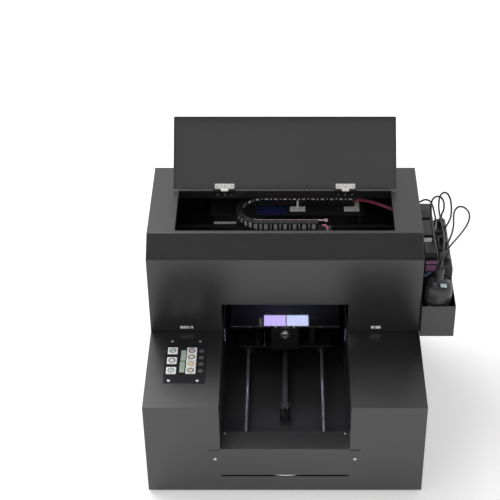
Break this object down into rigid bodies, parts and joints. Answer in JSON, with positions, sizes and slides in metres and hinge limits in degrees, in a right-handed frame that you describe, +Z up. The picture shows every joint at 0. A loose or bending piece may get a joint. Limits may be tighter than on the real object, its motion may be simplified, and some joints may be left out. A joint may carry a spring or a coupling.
{
  "type": "flatbed uv printer",
  "caption": "Steel-cased flatbed UV printer with a sliding, height-set bed in an open front channel, a hinged top hatch and an ink tray on its side.",
  "frame": {"origin": "under the middle of the box of housing, tray and open lid, on the surface that the feet stand on", "axes": "+X to the viewer's right, +Y to the rear, +Z up"},
  "size_m": [0.6705, 0.5322, 0.5816],
  "materials": {
    "case_paint": "satin black powder coat",
    "lid_paint": "satin black powder coat",
    "inner_steel": "matt black paint",
    "white_plastic": "semi-gloss",
    "rubber_black": "matt",
    "screw_steel": "machined",
    "chrome": "polished",
    "keypad_film": "gloss film",
    "key_white": "smooth",
    "circuit_board": "solder mask",
    "bright_steel": "ground",
    "dark_alloy": "anodised",
    "bed_gloss": "high gloss",
    "belt_rubber": "ribbed",
    "motor_black": "satin",
    "head_plastic": "moulded",
    "lamp_shell": "anodised",
    "lamp_glass": "clear",
    "chain_plastic": "moulded nylon",
    "ink_tube_red": "soft tube",
    "ink_tube_pink": "soft tube",
    "psu_metal": "zinc plated",
    "fan_plastic": "moulded",
    "socket_plastic": "moulded",
    "switch_plastic": "moulded",
    "bottle_plastic": "moulded",
    "cap_plastic": "moulded",
    "tube_black": "soft tube"
  },
  "bodies": {
    "housing": {"base_pan": "inner_steel", "lower_case": "case_paint", "upper_case": "case_paint", "rear_panel": "case_paint", "channel_trough": "inner_steel", "slot_lip": "white_plastic", "feet": "rubber_black", "housing_screws": "screw_steel", "frame_hinge_leaves": "dark_alloy", "keypad_overlay": "keypad_film", "control_board": "circuit_board", "bed_rods": "bright_steel", "rod_supports": "inner_steel", "bed_belt": "belt_rubber", "bed_motor": "motor_black", "carriage_beam": "inner_steel", "guide_rail": "dark_alloy", "carriage_belt": "belt_rubber", "carriage_motor": "motor_black", "capping_station": "head_plastic", "cable_chain": "chain_plastic", "chain_brackets": "white_plastic", "supply_tubes": "ink_tube_red", "power_supply": "psu_metal", "main_board": "circuit_board", "fan_frame": "fan_plastic", "power_inlet": "socket_plastic", "ink_tray": "case_paint", "ink_bottles": "bottle_plastic", "bottle_caps": "cap_plastic", "waste_bottle": "bottle_plastic", "ink_tubes": "tube_black"},
    "lid": {"lid_panel": "lid_paint", "lid_hinge_leaves": "chrome"},
    "bed_slider": {"slide_base": "dark_alloy", "lift_posts": "bright_steel"},
    "lift_wedge_body": {"lift_wedge": "dark_alloy"},
    "lift_knob_body": {"lift_screw": "bright_steel", "lift_knob": "chrome"},
    "bed_table": {"bed_riser": "dark_alloy", "bed_plate": "bed_gloss"},
    "bed_pulley_rear": {"bed_drive_pulley": "bright_steel"},
    "bed_pulley_front": {"bed_idler_pulley": "bright_steel"},
    "carriage": {"carriage_housing": "head_plastic", "print_head": "head_plastic", "uv_lamp": "lamp_shell", "lamp_windows": "lamp_glass", "carriage_tubes": "ink_tube_pink"},
    "carriage_pulley_left": {"carriage_drive_pulley": "bright_steel"},
    "carriage_pulley_right": {"carriage_idler_pulley": "bright_steel"},
    "cap": {"cap_pad": "rubber_black"},
    "fan": {"fan_rotor": "fan_plastic"},
    "switch": {"power_switch": "switch_plastic"},
    "key_left_1_body": {"key_left_1": "key_white"},
    "key_left_2_body": {"key_left_2": "key_white"},
    "key_left_3_body": {"key_left_3": "key_white"},
    "key_right_1_body": {"key_right_1": "key_white"},
    "key_right_2_body": {"key_right_2": "key_white"},
    "key_right_3_body": {"key_right_3": "key_white"},
    "key_right_4_body": {"key_right_4": "key_white"}
  },
  "joints": [
    {"name": "lid_hinge", "type": "hinge", "parent": "housing", "child": "lid", "pos_m": [-0.035, 0.15944, 0.461], "axis": [1, 0, 0], "range_deg": [0, 132]},
    {"name": "bed_slide", "type": "slide", "parent": "housing", "child": "bed_slider", "axis": [0, -1, 0], "range_m": [0, 0.255]},
    {"name": "bed_lift", "type": "slide", "parent": "bed_slider", "child": "bed_table", "axis": [0, 0, 1], "range_m": [0, 0.04]},
    {"name": "lift_wedge_slide", "type": "slide", "parent": "bed_slider", "child": "lift_wedge_body", "axis": [0, -1, 0], "range_m": [0, 0.04]},
    {"name": "lift_knob_turn", "type": "hinge", "parent": "bed_slider", "child": "lift_knob_body", "pos_m": [-0.035, 0.03544, 0.168], "axis": [0, -1, 0], "range_deg": [0, 2880.1]},
    {"name": "bed_pulley_rear_turn", "type": "hinge", "parent": "housing", "child": "bed_pulley_rear", "pos_m": [-0.035, 0.22044, 0.106], "axis": [1, 0, 0], "range_deg": [0, 2217]},
    {"name": "bed_pulley_front_turn", "type": "hinge", "parent": "housing", "child": "bed_pulley_front", "pos_m": [-0.035, -0.12556, 0.106], "axis": [1, 0, 0], "range_deg": [0, 2217]},
    {"name": "carriage_slide", "type": "slide", "parent": "housing", "child": "carriage", "axis": [1, 0, 0], "range_m": [-0.18, 0.12], "deforming": ["cable_chain"]},
    {"name": "carriage_pulley_left_turn", "type": "hinge", "parent": "housing", "child": "carriage_pulley_left", "pos_m": [-0.29, 0.14344, 0.346], "axis": [0, 0, 1], "range_deg": [-1565, 1044]},
    {"name": "carriage_pulley_right_turn", "type": "hinge", "parent": "housing", "child": "carriage_pulley_right", "pos_m": [0.22, 0.14344, 0.346], "axis": [0, 0, 1], "range_deg": [-1565, 1044]},
    {"name": "cap_lift", "type": "slide", "parent": "housing", "child": "cap", "axis": [0, 0, 1], "range_m": [0, 0.007]},
    {"name": "fan_spin", "type": "hinge", "parent": "housing", "child": "fan", "pos_m": [-0.235, 0.23544, 0.126], "axis": [0, 1, 0], "continuous": true},
    {"name": "power_switch_rock", "type": "hinge", "parent": "housing", "child": "switch", "pos_m": [0.17, 0.24744, 0.09], "axis": [-1, 0, 0], "range_deg": [0, 20]},
    {"name": "key_left_1_press", "type": "slide", "parent": "housing", "child": "key_left_1_body", "axis": [0, 0, -1], "range_m": [0, 0.001], "stiffness_N_per_m": 800, "springref_m": -0.0002},
    {"name": "key_left_2_press", "type": "slide", "parent": "housing", "child": "key_left_2_body", "axis": [0, 0, -1], "range_m": [0, 0.001], "stiffness_N_per_m": 800, "springref_m": -0.0002},
    {"name": "key_left_3_press", "type": "slide", "parent": "housing", "child": "key_left_3_body", "axis": [0, 0, -1], "range_m": [0, 0.001], "stiffness_N_per_m": 800, "springref_m": -0.0002},
    {"name": "key_right_1_press", "type": "slide", "parent": "housing", "child": "key_right_1_body", "axis": [0, 0, -1], "range_m": [0, 0.001], "stiffness_N_per_m": 800, "springref_m": -0.0002},
    {"name": "key_right_2_press", "type": "slide", "parent": "housing", "child": "key_right_2_body", "axis": [0, 0, -1], "range_m": [0, 0.001], "stiffness_N_per_m": 800, "springref_m": -0.0002},
    {"name": "key_right_3_press", "type": "slide", "parent": "housing", "child": "key_right_3_body", "axis": [0, 0, -1], "range_m": [0, 0.001], "stiffness_N_per_m": 800, "springref_m": -0.0002},
    {"name": "key_right_4_press", "type": "slide", "parent": "housing", "child": "key_right_4_body", "axis": [0, 0, -1], "range_m": [0, 0.001], "stiffness_N_per_m": 800, "springref_m": -0.0002}
  ],
  "couplings": [
    {"joint": "lift_wedge_slide", "follows": "bed_lift", "ratio": 1},
    {"joint": "lift_knob_turn", "follows": "bed_lift", "rad_per_m": 1256.6},
    {"joint": "bed_pulley_rear_turn", "follows": "bed_slide", "rad_per_m": 151.52},
    {"joint": "bed_pulley_front_turn", "follows": "bed_slide", "rad_per_m": 151.52},
    {"joint": "carriage_pulley_left_turn", "follows": "carriage_slide", "rad_per_m": 151.52},
    {"joint": "carriage_pulley_right_turn", "follows": "carriage_slide", "rad_per_m": 151.52}
  ]
}
